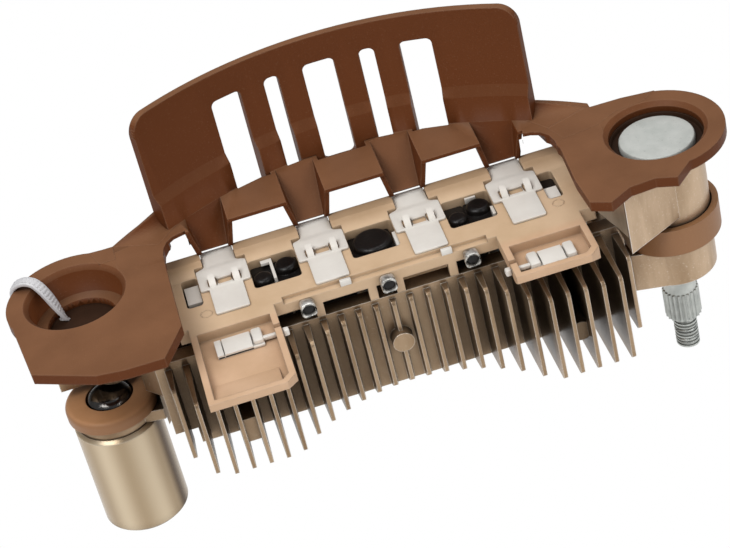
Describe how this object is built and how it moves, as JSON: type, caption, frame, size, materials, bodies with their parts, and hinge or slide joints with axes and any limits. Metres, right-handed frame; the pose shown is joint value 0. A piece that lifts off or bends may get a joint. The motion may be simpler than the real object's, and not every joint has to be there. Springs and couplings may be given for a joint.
{
  "type": "alternator rectifier",
  "caption": "Bridge rectifier for an alternator: finned die-cast heatsink, tan terminal block, brown cover with a slotted curved wall, spacer sleeve and threaded terminal stud.",
  "frame": {"origin": "centre of the spacer sleeve's seat, on the mounting axis", "axes": "+Z along the mounting axis, away from the housing; +X towards the terminal stud; +Y away from the rotor shaft"},
  "size_m": [0.144, 0.0612, 0.0801],
  "materials": {
    "cover": "fine moulded grain, brown",
    "block": "satin moulded, tan",
    "insulator": "satin moulded, light brown",
    "heatsink": "die cast, champagne tint",
    "tinned_sheet": "matt tin plate",
    "stud": "bright zinc plate",
    "sleeve": "turned, champagne plate",
    "rivet": "dark polished steel",
    "diode": "moulded black resin",
    "nylon": "white nylon"
  },
  "bodies": {
    "root": {"cover_baffle": "cover", "terminal_block": "block", "stator_terminal_1": "tinned_sheet", "stator_terminal_2": "tinned_sheet", "stator_terminal_3": "tinned_sheet", "stator_terminal_4": "tinned_sheet", "socket_clip_left": "tinned_sheet", "socket_clip_right": "tinned_sheet", "lead_loop_1": "tinned_sheet", "lead_loop_2": "tinned_sheet", "lead_loop_3": "tinned_sheet", "positive_heatsink": "heatsink", "negative_heatsink": "heatsink", "positive_diode_1": "diode", "positive_diode_2": "diode", "positive_diode_3": "diode", "positive_diode_4": "diode", "negative_diode_1": "diode", "negative_diode_2": "diode", "negative_diode_3": "diode", "negative_diode_4": "diode", "diode_leads_1": "tinned_sheet", "diode_leads_2": "tinned_sheet", "diode_leads_3": "tinned_sheet", "diode_leads_4": "tinned_sheet", "terminal_stud": "stud", "stud_insulator": "insulator", "stud_bush": "insulator", "washer_insulator": "insulator", "clamp_rivet": "rivet", "spacer_sleeve": "sleeve", "cable_tie": "nylon"}
  },
  "joints": []
}
